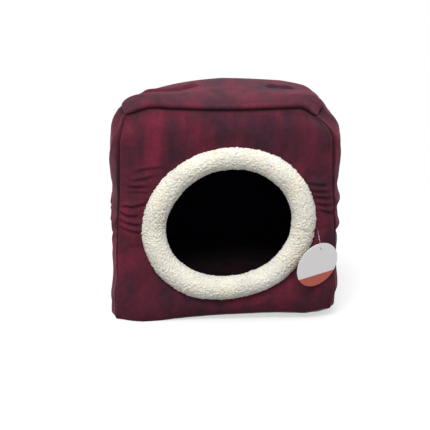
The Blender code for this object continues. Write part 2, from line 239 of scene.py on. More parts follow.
# Where the sewn house has sagged out of its plain shape: middle, reach along each axis, shift
SLUMPS = (
    ((-0.166, -0.168, 0.353), (0.036, 0.100, 0.030), (-0.005, 0.000, -0.004)),
    ((-0.142, -0.170, 0.362), (0.032, 0.070, 0.050), (0.000, 0.000, 0.004)),
    ((-0.200, -0.080, 0.350), (0.020, 0.100, 0.030), (-0.003, 0.000, 0.003)),
    ((0.200, -0.080, 0.350), (0.020, 0.100, 0.030), (0.004, 0.000, 0.003)),
    ((0.163, -0.180, 0.337), (0.025, 0.060, 0.022), (0.004, 0.000, 0.003)),
    ((0.000, -0.170, 0.362), (0.070, 0.070, 0.040), (0.000, 0.000, -0.003)),
    ((0.166, -0.168, 0.353), (0.030, 0.100, 0.024), (-0.013, 0.000, -0.006)),
    ((0.135, -0.168, 0.360), (0.025, 0.060, 0.040), (0.000, 0.000, 0.002)),
    ((-0.160, 0.120, 0.365), (0.085, 0.130, 0.060), (0.000, 0.000, -0.014)),
    ((0.170, 0.060, 0.365), (0.050, 0.100, 0.050), (0.000, 0.000, 0.001)),
    ((-0.180, -0.180, 0.008), (0.090, 0.120, 0.045), (-0.013, -0.008, -0.018)),
    ((0.180, -0.180, 0.008), (0.045, 0.120, 0.036), (0.003, 0.000, -0.006)),
    ((0.110, -0.180, 0.008), (0.110, 0.100, 0.040), (0.000, 0.000, 0.005)),
    ((-0.203, 0.000, 0.065), (0.026, 0.400, 0.030), (0.004, 0.000, 0.000)),
    ((0.180, -0.110, 0.360), (0.035, 0.080, 0.024), (-0.002, 0.000, 0.000)),
    ((-0.203, 0.000, 0.215), (0.026, 0.400, 0.035), (0.003, 0.000, 0.000)),
    ((0.203, 0.000, 0.235), (0.026, 0.400, 0.050), (-0.005, 0.000, 0.000)),
    ((0.203, 0.000, 0.100), (0.026, 0.400, 0.050), (-0.006, 0.000, 0.000)),
)

# Folds: points along the fold on the pad's plane, how high it stands, and its width
FOLDS = {
    "front": (
        (((-0.1555, 0.0782), (-0.1368, 0.0831), (-0.1132, 0.0849)), 0.0010, 0.0034),
        (((-0.1558, 0.0634), (-0.1439, 0.0659), (-0.1284, 0.0694)), 0.0013, 0.0030),
        (((-0.1612, 0.0521), (-0.1398, 0.0530)), 0.0014, 0.0028),
        (((-0.1639, 0.0427), (-0.1443, 0.0435), (-0.1341, 0.0417)), 0.0012, 0.0028),
        (((-0.1727, 0.0191), (-0.1576, 0.0191), (-0.1403, 0.0233)), 0.0018, 0.0028),
        (((-0.1766, 0.0087), (-0.1663, 0.0033), (-0.1535, 0.0041)), 0.0020, 0.0028),
        (((-0.1797, -0.0022), (-0.1657, -0.0093), (-0.1459, -0.0123)), 0.0020, 0.0030),
        (((-0.1771, -0.0165), (-0.1617, -0.0218), (-0.1461, -0.0253)), 0.0016, 0.0032),
        (((0.1428, 0.0567), (0.1670, 0.0542)), 0.0014, 0.0032),
        (((0.1445, 0.0452), (0.1688, 0.0427)), 0.0016, 0.0030),
        (((0.1490, 0.0346), (0.1716, 0.0319)), 0.0016, 0.0030),
        (((0.1531, 0.0222), (0.1719, 0.0197)), 0.0016, 0.0030),
        (((0.1583, 0.0115), (0.1738, 0.0064), (0.1833, 0.0123)), 0.0018, 0.0030),
    ),
    "left": (
        (
            ((-0.1100, -0.0200), (0.0200, -0.0120), (0.1200, -0.0160), (0.1760, -0.0170)),
            0.0025,
            0.0060,
        ),
        (((0.0200, -0.0360), (0.0900, -0.0370), (0.1740, -0.0340)), 0.0015, 0.0055),
        (((0.0600, 0.0180), (0.1200, 0.0120), (0.1700, 0.0100)), 0.0014, 0.0060),
    ),
    "right": (
        (
            ((-0.1760, 0.0200), (-0.0800, 0.0180), (0.0300, 0.0240), (0.1100, 0.0200)),
            0.0015,
            0.0085,
        ),
        (((-0.1740, -0.0240), (-0.0900, -0.0280), (0.0400, -0.0260)), 0.0013, 0.0070),
    ),
    "back": (
        (((-0.1500, 0.0100), (-0.0900, 0.0020), (-0.0300, 0.0050)), 0.0025, 0.0080),
        (((0.0400, -0.0040), (0.1000, 0.0060), (0.1560, 0.0040)), 0.0025, 0.0070),
    ),
    "roof": (
        (
            ((-0.1500, -0.0980), (-0.1180, -0.0760), (-0.0870, -0.0680), (-0.0560, -0.0300)),
            0.0030,
            0.0090,
        ),
        (((0.0840, -0.0380), (0.1050, -0.0430), (0.1280, -0.0300)), 0.0020, 0.0060),
    ),
}


def smooth(share):
    """A share from 0 to 1, eased at both ends."""
    share = np.clip(share, 0.0, 1.0)
    return share * share * (3.0 - 2.0 * share)


def rounded(share):
    """How full a pad is at a share of the way across its rounded border."""
    return np.sqrt(1.0 - (1.0 - np.clip(share, 0.0, 1.0)) ** 2)


def eased(share):
    """The same for a lining, which leaves the seam at a low angle."""
    return 1.0 - (1.0 - np.clip(share, 0.0, 1.0)) ** 2


def settle(points, slumps):
    """Where points of the plain box lie in the sewn house."""
    offset = points - HOUSE_MIDDLE
    nearness = smooth((np.abs(offset) - HOUSE_HALVES + CORNER_REACH) / CORNER_REACH)
    draw = CORNER_DRAW * nearness.prod(axis=1)
    drawn = offset - np.copysign(draw[:, None], offset)
    spread = 1.0 - TAPER * offset[:, 2] / (2 * HOUSE_HALVES[2])
    placed = HOUSE_MIDDLE + np.column_stack((drawn[:, :2] * spread[:, None], drawn[:, 2]))
    shift = np.zeros_like(placed)
    for middle, reach, push in slumps:
        away = (((placed - middle) / reach) ** 2).sum(axis=1)
        shift += np.exp(-away)[:, None] * push
    placed += shift
    placed[:, 2] = 0.5 * (placed[:, 2] + np.hypot(placed[:, 2], FLOOR_EASE))
    return placed


class Pad:
    """A pad between its seams. Its plane has u to the right and v up, seen from outside."""

    def __init__(
        self, name, cut, outward, along, up, halves=HOUSE_HALVES, middle=None, slumps=SLUMPS
    ):
        self.name = name
        self.cut = cut  # tells its piece of cloth from the others
        self.slumps = slumps
        self.outward, self.along, self.up = (
            np.array(axis, dtype=float) for axis in (outward, along, up)
        )
        self.half_u = abs(self.along @ halves)
        self.half_v = abs(self.up @ halves)
        self.middle = HOUSE_MIDDLE + self.outward * halves if middle is None else middle

    def place(self, u, v, height):
        """Where points of the pad's plane, raised by heights, lie in the sewn house."""
        points = (
            self.middle
            + u[:, None] * self.along
            + v[:, None] * self.up
            + height[:, None] * self.outward
        )
        return settle(points, self.slumps)


# The six pads, each with its outward, right and up directions
PAD_DIRECTIONS = {
    "front": ((0, -1, 0), (1, 0, 0), (0, 0, 1)),
    "back": ((0, 1, 0), (-1, 0, 0), (0, 0, 1)),
    "left": ((-1, 0, 0), (0, -1, 0), (0, 0, 1)),
    "right": ((1, 0, 0), (0, 1, 0), (0, 0, 1)),
    "roof": ((0, 0, 1), (1, 0, 0), (0, 1, 0)),
    "base": ((0, 0, -1), (1, 0, 0), (0, -1, 0)),
}
PADS = {
    name: Pad(name, float(cut), *directions)
    for cut, (name, directions) in enumerate(PAD_DIRECTIONS.items())
}
CUSHION = Pad(
    "cushion",
    float(len(PADS)),
    (0, 0, 1),
    (1, 0, 0),
    (0, 1, 0),
    halves=np.array((0.163, 0.163, 0.0)),
    middle=np.array((0.0, 0.0065, 0.0346)),
    slumps=(),
)


def roll_axes(u, v):
    """Places on the front pad's plane, along the roll's long and short axes from its middle."""
    x, z = u - ROLL_MIDDLE[0], v + HOUSE_MIDDLE[2] - ROLL_MIDDLE[1]
    along = x * math.cos(ROLL_TILT) + z * math.sin(ROLL_TILT)
    up = z * math.cos(ROLL_TILT) - x * math.sin(ROLL_TILT)
    return along, up


def from_roll(u, v):
    """Distance from the roll's centre line, on the front pad's plane. Inside it is negative."""
    along, up = roll_axes(u, v)
    level = np.hypot(along / ROLL_HALF_WIDTH, up / ROLL_HALF_HEIGHT)
    slope = np.hypot(along / ROLL_HALF_WIDTH**2, up / ROLL_HALF_HEIGHT**2)
    return (level - 1.0) / np.maximum(slope / np.maximum(level, TINY), TINY)


def border_shares(pad, u, v):
    """How far in from its seams a point is, as shares of the borders: sides, top, bottom."""
    side, top, bottom = BORDERS[pad.name]
    if pad.name == "roof":
        rearward = smooth((v - ROOF_REAR_START) / ROOF_REAR_REACH)
        side = side + np.where(u < 0, *ROOF_REAR_BORDERS) * rearward
    return (pad.half_u - np.abs(u)) / side, (pad.half_v - v) / top, (pad.half_v + v) / bottom


def fullness(pad, u, v):
    """How full a cover is, from 0 at its seams to 1."""
    side, top, bottom = border_shares(pad, u, v)
    return rounded(side) * rounded(top) * rounded(bottom)


def plain_height(pad, u, v):
    """How far a pad's cover stands out of the seams' plane, before folds and wrinkles."""
    full = fullness(pad, u, v)
    s, t = u / pad.half_u, v / pad.half_v
    crown = (1 - s * s) * (1 - t * t)
    if pad.name == "front":
        dip = 1.0 - smooth((from_roll(u, v) - ROLL_DIP_START) / ROLL_DIP_WIDTH)
        return (WALL_SWELL - ROLL_DIP * dip) * full
    if pad.name == "roof":
        away_u = (u - ROOF_DOME_MIDDLE[0]) / ROOF_DOME_REACH[0]
        away_v = (v - ROOF_DOME_MIDDLE[1]) / ROOF_DOME_REACH[1]
        dome = np.exp(-(away_u**2) - away_v**2)
        return (ROOF_SWELL + ROOF_DOME * dome) * full - ROOF_SAG * full * (1 - full) ** 2
    if pad.name == "cushion":
        return CUSHION_TOP_SWELL * full + CUSHION_CROWN * crown
    if pad.name == "base":
        return BASE_SWELL * full
    return WALL_SWELL * (1.0 + WALL_TOP_GAIN * t) * full + WALL_CROWN * crown


def overhang(pad, u, v):
    """How far a cover's swelling hangs out over its seams, along u and along v."""
    side, top, bottom = (
        (1.0 - np.clip(share, 0.0, 1.0)) ** 2 for share in border_shares(pad, u, v)
    )
    hang_side, hang_top, hang_bottom = HANGS.get(pad.name, (0.0, 0.0, 0.0))
    full = fullness(pad, u, v)
    swell = ROOF_SWELL if pad.name == "roof" else WALL_SWELL
    out = swell * full * (1.0 - full) / np.maximum(np.hypot(side, top + bottom), TINY)
    return out * hang_side * side * np.sign(u), out * (hang_top * top - hang_bottom * bottom)


def fold_height(pad, u, v):
    """Folds that the house has taken: each is a ridge with a valley on its lower side."""
    total = np.zeros_like(u)
    for points, rise, width in FOLDS.get(pad.name, ()):
        along, across = zip(*points)
        off = v - np.interp(u, along, across)
        start = smooth((u - along[0] + FOLD_OVERRUN) / FOLD_FADE)
        end = smooth((along[-1] + FOLD_OVERRUN - u) / FOLD_FADE)
        ridge = np.exp(-((off / width) ** 2))
        valley = np.exp(-(((off + VALLEY_PLACE * width) / width) ** 2))
        total += FOLD_GAIN * rise * (start * end) * (ridge - VALLEY_DEPTH * valley)
    return total


def gathers(pad, u, v):
    """Small gathers that run in from the seams, a little unevenly, and fade out."""
    total = np.zeros_like(u)
    for distance, place, phase in (
        (pad.half_u - np.abs(u), v, np.sign(u)),
        (pad.half_v - np.abs(v), u, np.sign(v) + 2.5),
    ):
        wander = 0.004 * np.sin(place * 37.0 + 5.0 * phase) + 0.003 * np.sin(place * 83.0 + phase)
        strength = 0.6 + 0.4 * np.sin(place * 61.0)
        wave = np.sin((place + wander) * GATHER_PACE + 9.0 * phase) * strength
        start = smooth(distance / GATHER_START)
        total += GATHER_HEIGHT * wave * start * np.exp(-distance / GATHER_REACH)
    return total


def cubic_weights(share):
    """The weights of four points in a row, at a share of the way from the second to the third."""
    return (
        (1 - share) ** 3 / 6,
        (3 * share**3 - 6 * share**2 + 4) / 6,
        (-3 * share**3 + 3 * share**2 + 3 * share + 1) / 6,
        share**3 / 6,
    )


def sample(field, s, t):
    """A square field's value at places s, t from -1 to 1, smoothed between its points."""
    steps = len(field) - 1
    wide = np.pad(field, 1, mode="edge")
    x, y = (s + 1) / 2 * steps, (t + 1) / 2 * steps
    column = np.clip(np.floor(x), 0, steps - 1).astype(int)
    row = np.clip(np.floor(y), 0, steps - 1).astype(int)
    total = np.zeros_like(x)
    for down, weight_t in enumerate(cubic_weights(y - row)):
        for right, weight_s in enumerate(cubic_weights(x - column)):
            total += weight_t * weight_s * wide[row + down, column + right]
    return total


def cover_shape(pad, u, v, wrinkles):
    """Where a cover's points lie on its pad's plane, and how high they stand above it."""
    side = np.minimum(pad.half_u - np.abs(u), pad.half_v - np.abs(v))
    wrinkled = sample(wrinkles[pad.name], u / pad.half_u, v / pad.half_v)
    wrinkled = wrinkled * smooth(side / WRINKLE_FADE)
    folded = fold_height(pad, u, v) * smooth(side / FOLD_SEAM_FADE)
    out_u, out_v = overhang(pad, u, v)
    height = plain_height(pad, u, v) + gathers(pad, u, v) + folded + wrinkled
    return u + out_u, v + out_v, height


def stations(steps):
    """Places along a side, from -1 to 1, closer together near its ends."""
    share = np.linspace(0.0, 1.0, 4001)
    nearness = np.exp(-share / EDGE_SHARE) + np.exp(-(1.0 - share) / EDGE_SHARE)
    pace = 1.0 - EDGE_CLOSENESS * nearness
    along = np.concatenate(([0.0], np.cumsum(1.0 / pace[1:])))
    along /= along[-1]
    return 2.0 * np.interp(np.linspace(0.0, 1.0, steps + 1), along, share) - 1.0


def add_grid(bm, columns, rows):
    """Adds a grid, and gives its points with the column and row of each."""
    made = bmesh.ops.create_grid(bm, x_segments=columns, y_segments=rows, size=1.0)["verts"]
    flat = np.array([vertex.co for vertex in made])
    column = np.rint((flat[:, 0] + 1) / 2 * columns).astype(int)
    row = np.rint((flat[:, 1] + 1) / 2 * rows).astype(int)
    return made, column, row


def set_places(bm, made, pad, shape, u, v):
    """Moves points to a shape over a pad's plane, and notes their places on its cloth."""
    cloth = bm.verts.layers.float_vector["cloth"]
    depth = bm.verts.layers.float["full"]
    places = zip(made, pad.place(*shape), u, v, fullness(pad, u, v))
    for vertex, point, across, up, full in places:
        vertex.co = point
        vertex[cloth] = (across, up, pad.cut)
        vertex[depth] = full


def new_cloth():
    """A bmesh whose points can note their place on the cloth and how full the pad is there."""
    bm = bmesh.new()
    bm.verts.layers.float_vector.new("cloth")
    bm.verts.layers.float.new("full")
    return bm


def new_piece(name, bm, finish, body="house", sharp=60):
    """Makes a piece of a closed bmesh, with its faces outwards, and lets it ride on a body.

    Edges that turn by more than sharp, in degrees, stay sharp.
    """
    if bm.calc_volume(signed=True) < 0:
        bmesh.ops.reverse_faces(bm, faces=bm.faces)
    mesh = bpy.data.meshes.new(name)
    bm.to_mesh(mesh)
    bm.free()
    mesh.shade_smooth()
    mesh.set_sharp_from_angle(angle=math.radians(sharp))
    mesh.materials.append(finish)
    piece = bpy.data.objects.new(name, mesh)
    bpy.context.scene.collection.objects.link(piece)
    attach(piece, body)
    return piece


def close_behind(bm, pad, level):
    """Closes a cover or lining with a hem that turns in behind it, and a back at a level."""
    rim = [edge for edge in bm.edges if edge.is_boundary]
    hem = bmesh.ops.extrude_edge_only(bm, edges=rim)["geom"]
    turned = [element for element in hem if isinstance(element, bmesh.types.BMVert)]
    cloth = bm.verts.layers.float_vector["cloth"]
    u, v = HEM_SHARE * np.array([vertex[cloth].xy for vertex in turned]).T
    set_places(bm, turned, pad, (u, v, np.full(len(u), level)), u, v)
    bmesh.ops.edgeloop_fill(bm, edges=[edge for edge in bm.edges if edge.is_boundary])
    bmesh.ops.recalc_face_normals(bm, faces=bm.faces)


def square_face(pad, steps, shape, level):
    """One face of a pad with no opening, closed behind."""
    bm = new_cloth()
    made, column, row = add_grid(bm, steps, steps)
    place = stations(steps)
    u, v = place[column] * pad.half_u, place[row] * pad.half_v
    set_places(bm, made, pad, shape(u, v), u, v)
    close_behind(bm, pad, level)
    return bm


def roll_line(angle, beyond):
    """Points (u, v) of the front pad's plane, at angles round the roll and beyond its line."""
    along, up = ROLL_HALF_WIDTH * np.cos(angle), ROLL_HALF_HEIGHT * np.sin(angle)
    out_along = ROLL_HALF_HEIGHT * np.cos(angle)
    out_up = ROLL_HALF_WIDTH * np.sin(angle)
    length = np.hypot(out_along, out_up)
    along, up = along + beyond * out_along / length, up + beyond * out_up / length
    u = ROLL_MIDDLE[0] + along * math.cos(ROLL_TILT) - up * math.sin(ROLL_TILT)
    v = ROLL_MIDDLE[1] + along * math.sin(ROLL_TILT) + up * math.cos(ROLL_TILT)
    return u, v - HOUSE_MIDDLE[2]


def seam_rays(pad, steps):
    """The points of the front pad's seam, in order, and the angle round the roll of each."""
    place = stations(steps)[:-1]
    one = np.ones(steps)
    s = np.concatenate((place, one, -place, -one))
    t = np.concatenate((-one, place, one, -place))
    u, v = s * pad.half_u, t * pad.half_v
    along, up = roll_axes(u, v)
    return u, v, np.arctan2(up / ROLL_HALF_HEIGHT, along / ROLL_HALF_WIDTH)


def ring_face(pad, side_steps, ray_steps, shape):
    """One face of the front pad, from its lip in the roll out to the seams, closed behind."""
    seam_u, seam_v, angle = seam_rays(pad, side_steps)
    lip_u, lip_v = roll_line(angle, LIP_PLACE)
    share = np.linspace(0.0, 1.0, ray_steps + 1)
    share = 0.2 * share + 0.8 * np.sin(share * math.pi / 2)  # closer together at the seams
    bm = new_cloth()
    made, column, row = add_grid(bm, 4 * side_steps, ray_steps + 2)
    column %= 4 * side_steps
    out = np.append(share, (0.0, 0.0))[row]
    u = lip_u[column] + (seam_u - lip_u)[column] * out
    v = lip_v[column] + (seam_v - lip_v)[column] * out
    placed_u, placed_v, height = shape(u, v)
    height = np.where(row == ray_steps + 1, 0.0, height)
    set_places(bm, made, pad, (placed_u, placed_v, height), u, v)
    bmesh.ops.remove_doubles(bm, verts=bm.verts, dist=WELD)
    bmesh.ops.recalc_face_normals(bm, faces=bm.faces)
    return bm


def sheet_over(pad):
    """A sheet of cloth over a pad's foam, held at the seams and inside the roll.

    With it come the column and row of each of its points.
    """
    bm = bmesh.new()
    made, column, row = add_grid(bm, SHEET_STEPS, SHEET_STEPS)
    u = (2 * column / SHEET_STEPS - 1) * pad.half_u
    v = (2 * row / SHEET_STEPS - 1) * pad.half_v
    for vertex, point in zip(made, np.column_stack((u, v, plain_height(pad, u, v)))):
        vertex.co = point
    mesh = bpy.data.meshes.new(pad.name + "_sheet")
    bm.to_mesh(mesh)
    bm.free()
    sheet = bpy.data.objects.new(mesh.name, mesh)
    bpy.context.scene.collection.objects.link(sheet)
    sewn = (column % SHEET_STEPS == 0) | (row % SHEET_STEPS == 0)
    if pad.name == "front":
        sewn |= from_roll(u, v) < SHEET_HELD
    group = sheet.vertex_groups.new(name="sewn")
    group.add(np.flatnonzero(sewn).tolist(), 1.0, "REPLACE")
    cloth = sheet.modifiers.new("cloth", "CLOTH")
    for setting, value in SHEET_CLOTH.items():
        setattr(cloth.settings, setting, value)
    cloth.settings.effector_weights.gravity = 0.0
    cloth.collision_settings.use_collision = False
    cloth.point_cache.frame_start = 1
    cloth.point_cache.frame_end = SHEET_FRAMES
    return sheet, column, row


def sheet_wrinkles(sheet, column, row, graph):
    """How high a sheet's points now stand above its broad swelling, as a square field."""
    field = np.zeros((SHEET_STEPS + 1, SHEET_STEPS + 1))
    swollen = sheet.evaluated_get(graph).to_mesh()
    for index, vertex in enumerate(swollen.vertices):
        field[row[index], column[index]] = vertex.co.z - sheet.data.vertices[index].co.z
    broad = field.copy()
    for _ in range(BROAD_ROUNDS):
        broad[1:-1, 1:-1] = (
            broad[:-2, 1:-1] + broad[2:, 1:-1] + broad[1:-1, :-2] + broad[1:-1, 2:]
        ) / 4
    return WRINKLE_LIMIT * np.tanh((field - broad) / WRINKLE_LIMIT)


def swollen_wrinkles(pads):
    """Lets each cover swell as cloth over its foam, and gives the wrinkles that it takes."""
    sheets = {pad.name: sheet_over(pad) for pad in pads}
    for step in range(1, SHEET_FRAMES + 1):
        bpy.context.scene.frame_set(step)
    graph = bpy.context.evaluated_depsgraph_get()
    wrinkles = {name: sheet_wrinkles(*sheet, graph) for name, sheet in sheets.items()}
    for sheet, *_ in sheets.values():
        mesh = sheet.data
        bpy.data.objects.remove(sheet)
        bpy.data.meshes.remove(mesh)
    bpy.context.scene.frame_set(1)
    return wrinkles


def cover_panels(wrinkles, suede, grey):
    """The covers of the six pads, with the foam's shape under them."""
    for name, pad in PADS.items():
        shape = partial(cover_shape, pad, wrinkles=wrinkles)
        if name == "front":
            bm = ring_face(pad, SIDE_STEPS, RAY_STEPS, shape)
        else:
            bm = square_face(pad, SIDE_STEPS if name != "base" else LINING_STEPS, shape, HEM_LEVEL)
        panel = new_piece(name + "_panel", bm, grey if name == "base" else suede)
        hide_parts(name + "_cover", name + "_foam")


def lining_shape(pad, u, v):
    """Where a lining's points lie, in from the seams' plane, and a little uneven."""
    side = np.minimum(pad.half_u - np.abs(u), pad.half_v - np.abs(v))
    full = eased((pad.half_u - np.abs(u)) / LINING_BORDER)
    full = full * eased((pad.half_v - np.abs(v)) / LINING_BORDER)
    uneven = np.sin(u * 61.0 + 1.3) * np.sin(v * 53.0 + 0.4) + np.sin(u * 27.0 - v * 33.0)
    inside = smooth(side / LINING_EVEN_EDGE)
    return u, v, -(LINING_SWELL * full + LINING_UNEVENNESS * uneven * inside)


def plush_linings(plush):
    """The dark linings of the six pads, towards the cabin."""
    for name, pad in PADS.items():
        shape = partial(lining_shape, pad)
        if name == "front":
            bm = ring_face(pad, LINING_STEPS, LINING_STEPS // 2, shape)
        else:
            bm = square_face(pad, LINING_STEPS, shape, -HEM_LEVEL)
        lining = new_piece(name + "_plush", bm, plush)
        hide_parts(name + "_lining")


def roll_surface(angle, turn, radius):
    """Points at angles round the entrance, turned round the roll's line at a radius from it."""
    u, v = roll_line(angle, radius * np.cos(turn))
    return PADS["front"].place(u, v, ROLL_FORWARD + radius * np.sin(turn))


def curl_height(point):
    """How far the fleece stands out at a point of the roll."""
    sway = noise.noise_vector(point * 110.0) * 0.5
    wide = noise.voronoi(point / NUB_WIDTH + sway)[0][0]
    small = noise.voronoi(point / (SMALL_NUB_SHARE * NUB_WIDTH) - sway)[0][0]
    lump = LUMP_HEIGHT * noise.noise(point * 26.0)
    fuzz = FUZZ_HEIGHT * noise.noise(point * 520.0)
    strength = 0.8 + 0.6 * noise.noise(point * 80.0)
    return NUB_HEIGHT * strength * (0.55 - 0.65 * wide - 0.35 * small) + lump + fuzz


def fleece_roll(fleece):
    """The roll round the entrance, with the fleece's curls standing out of it."""
    bm = bmesh.new()
    section = bmesh.ops.create_circle(
        bm,
        segments=SECTION_STEPS,
        radius=0.2,
        matrix=Matrix.Translation((1, 0, 0)) @ Matrix.Rotation(math.pi / 2, 4, "X"),
    )["verts"]
    bmesh.ops.spin(
        bm,
        geom=section + list(bm.edges),
        axis=(0, 0, 1),
        angle=2 * math.pi,
        steps=ROLL_STEPS,
        use_merge=True,
    )
    plain = np.array([vertex.co for vertex in bm.verts])
    angle = np.arctan2(plain[:, 1], plain[:, 0])
    turn = np.arctan2(plain[:, 2], np.hypot(plain[:, 0], plain[:, 1]) - 1.0)
    # The roll is stuffed a little unevenly
    radius = ROLL_RADIUS + 0.0008 * np.cos(2 * angle) + 0.0006 * np.sin(3 * angle + 1.0)
    noise.seed_set(FLEECE_SEED)
    curl = np.array([curl_height(Vector(point)) for point in roll_surface(angle, turn, radius)])
    gathered = np.exp(-(((angle + ROLL_SEAM) * ROLL_HALF_WIDTH / ROLL_SEAM_WIDTH) ** 2))
    curl -= ROLL_SEAM_DEPTH * gathered * (0.6 + 0.4 * np.sin(5.0 * turn))
    depth = bm.verts.layers.float.new("curl")
    for vertex, point, raised in zip(bm.verts, roll_surface(angle, turn, radius + curl), curl):
        vertex.co = point
        vertex[depth] = raised / NUB_HEIGHT
    bmesh.ops.recalc_face_normals(bm, faces=bm.faces)
    roll = new_piece("fleece_roll", bm, fleece, sharp=180)
    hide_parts("entrance_sleeve", "entrance_core")


def floor_cushion(wrinkles, plush):
    """The loose cushion on the cabin's floor."""
    bm = new_cloth()
    for side in (1, -1):
        made, column, row = add_grid(bm, CUSHION_STEPS, CUSHION_STEPS)
        place = stations(CUSHION_STEPS)
        s, t = place[column], place[row]
        u, v = s * CUSHION.half_u, t * CUSHION.half_v
        height = plain_height(CUSHION, u, v) + sample(wrinkles["cushion"], s, t)
        if side < 0:
            height = -np.minimum(height, CUSHION_FOOT_SWELL)
        height += side * gathers(CUSHION, u, v)
        drawn_u = u - s * CUSHION_DRAW * (1 - t * t)
        drawn_v = v - t * CUSHION_DRAW * (1 - s * s)
        set_places(bm, made, CUSHION, (drawn_u, drawn_v, height), u, v)
    bmesh.ops.remove_doubles(bm, verts=bm.verts, dist=WELD)
    bmesh.ops.recalc_face_normals(bm, faces=bm.faces)
    cushion = new_piece("floor_cushion", bm, plush, "cushion")
    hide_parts("cushion_top", "cushion_foot", "cushion_filling")


def filament_root(nylon):
    """The end of the tag's filament, which bends as it comes out of the cloth beside the roll."""
    joints = {joint["name"]: joint for joint in frame["joints"]}
    lift, swing = (Vector(joints[name]["pos_m"]) for name in ("tag_lift", "tag_swing"))
    inwards = (lift - swing).normalized()
    root = lift + FILAMENT_CLEARANCE * inwards
    level = Vector((0, 1, 0))
    bend = (level - level.dot(inwards) * inwards).normalized()
    bm = bmesh.new()
    section = bmesh.ops.create_circle(
        bm,
        segments=FILAMENT_SIDES,
        radius=FILAMENT_RADIUS,
        matrix=Matrix.Translation(root) @ inwards.to_track_quat("Z", "Y").to_matrix().to_4x4(),
    )["verts"]
    bmesh.ops.spin(
        bm,
        geom=section + list(bm.edges),
        cent=root + FILAMENT_BEND * bend,
        axis=inwards.cross(bend),
        angle=FILAMENT_LENGTH / FILAMENT_BEND,
        steps=FILAMENT_STEPS,
    )
    bmesh.ops.edgeloop_fill(bm, edges=[edge for edge in bm.edges if edge.is_boundary])
    bmesh.ops.recalc_face_normals(bm, faces=bm.faces)
    end = new_piece("filament_root", bm, nylon)


def add_node(tree, kind, sockets=(), **settings):
    """Adds a node. Sockets is pairs of a socket's name or number and a value or an output."""
    node = tree.nodes.new(kind)
    for setting, value in settings.items():
        setattr(node, setting, value)
    for socket, value in sockets:
        if isinstance(value, bpy.types.NodeSocket):
            tree.links.new(value, node.inputs[socket])
        else:
            node.inputs[socket].default_value = value
    return node


def new_finish(name, **uniform):
    """A material, its node tree and its shader, with the values that are the same all over."""
    finish = bpy.data.materials.new(name)
    finish.use_nodes = True
    tree = finish.node_tree
    shader = tree.nodes["Principled BSDF"]
    for socket, value in uniform.items():
        shader.inputs[socket.replace("_", " ")].default_value = value
    return finish, tree, shader


def noise_node(tree, vector, scale, detail=2.0, roughness=0.5, distortion=0.0):
    sockets = (
        ("Vector", vector),
        ("Scale", scale),
        ("Detail", detail),
        ("Roughness", roughness),
        ("Distortion", distortion),
    )
    return add_node(tree, "ShaderNodeTexNoise", sockets).outputs["Fac"]


def math_node(tree, operation, *values):
    sockets = tuple(enumerate(values))
    return add_node(tree, "ShaderNodeMath", sockets, operation=operation).outputs[0]


def ramp_node(tree, factor, stops):
    ramp = add_node(tree, "ShaderNodeValToRGB", (("Fac", factor),))
    points = ramp.color_ramp.elements
    while len(points) < len(stops):
        points.new(0.5)
    for point, (position, colour) in zip(points, stops):
        point.position = position
        point.color = (*colour, 1.0)
    return ramp.outputs["Color"]


def blend_colour(tree, mode, factor, first, second):
    sockets = ((0, factor), (6, first), (7, second))
    mix = add_node(
        tree, "ShaderNodeMix", sockets, data_type="RGBA", blend_type=mode, clamp_result=True
    )
    return mix.outputs[2]


def fade_node(tree, value, start, end, first, last):
    """Goes smoothly from a first number to a last one while a value goes from start to end."""
    sockets = (
        ("Value", value),
        ("From Min", start),
        ("From Max", end),
        ("To Min", first),
        ("To Max", last),
    )
    return add_node(
        tree, "ShaderNodeMapRange", sockets, interpolation_type="SMOOTHSTEP"
    ).outputs["Result"]


def bump_node(tree, height, distance, strength, normal=None):
    sockets = [("Height", height), ("Distance", distance), ("Strength", strength)]
    if normal is not None:
        sockets.append(("Normal", normal))
    return add_node(tree, "ShaderNodeBump", sockets).outputs["Normal"]


